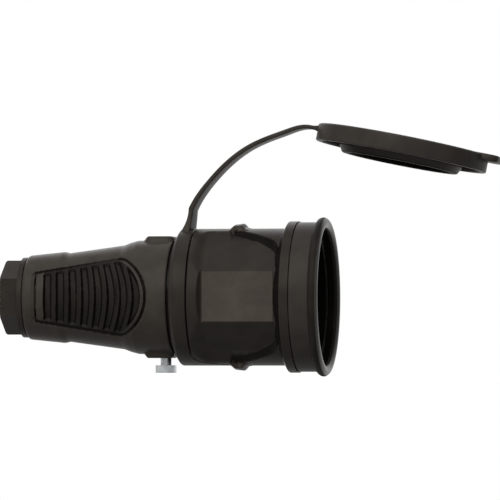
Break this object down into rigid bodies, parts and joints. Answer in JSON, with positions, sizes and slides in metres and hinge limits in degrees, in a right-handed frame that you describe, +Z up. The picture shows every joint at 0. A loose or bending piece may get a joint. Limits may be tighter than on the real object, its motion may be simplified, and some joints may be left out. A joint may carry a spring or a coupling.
{
  "type": "earthed cable coupling socket",
  "caption": "Black rewireable earthed trailing socket: ribbed tapered handle with a gland nut, flatted grip sleeve, beaded round mouth and a sealing cap on a bending strap.",
  "frame": {"origin": "centre of the cable entry, on the outer face of the gland nut", "axes": "+X along the body's axis from the cable entry to the mouth, +Y across the two pin holes, +Z up to the root of the cap's strap"},
  "size_m": [0.1829, 0.063, 0.092],
  "materials": {
    "shell_plastic": "black moulded, fine matte grain",
    "soft_rubber": "black soft moulding, matte",
    "inner_plastic": "black moulded, smooth",
    "plated_steel": "zinc plated, satin",
    "contact_brass": "plain brass",
    "spring_strip": "nickel plated strip"
  },
  "bodies": {
    "coupling": {"gland_nut": "shell_plastic", "handle_shell": "shell_plastic", "front_sleeve": "shell_plastic", "cap_ring": "soft_rubber", "mouth_ring": "soft_rubber", "gland_seal": "soft_rubber", "body_seal": "soft_rubber", "contact_insert": "inner_plastic", "terminal_carrier": "inner_plastic", "cord_clamp": "inner_plastic", "gland_washer": "plated_steel", "housing_screw": "plated_steel", "captive_nut": "plated_steel", "line_terminal_screw": "plated_steel", "neutral_terminal_screw": "plated_steel", "earth_terminal_screw": "plated_steel", "cord_clamp_screws": "plated_steel", "line_contact": "contact_brass", "neutral_contact": "contact_brass", "earth_terminal": "contact_brass", "earth_clip": "spring_strip"},
    "strap": {"cap_strap": "soft_rubber"},
    "cap": {"sealing_cap": "soft_rubber"}
  },
  "joints": [
    {"name": "strap_bend", "type": "hinge", "parent": "coupling", "child": "strap", "pos_m": [0.06985, 0, 0.032], "axis": [0, 1, 0], "range_deg": [-30, 31.8], "stiffness_Nm_per_rad": 0.3, "springref_deg": -2.58, "deforming": ["cap_strap"]},
    {"name": "cap_flex", "type": "hinge", "parent": "strap", "child": "cap", "pos_m": [0.11385, 0, 0.0618], "axis": [0, 1, 0], "range_deg": [-40, 46.4], "stiffness_Nm_per_rad": 0.3, "springref_deg": -1.15, "deforming": ["cap_strap"]}
  ]
}
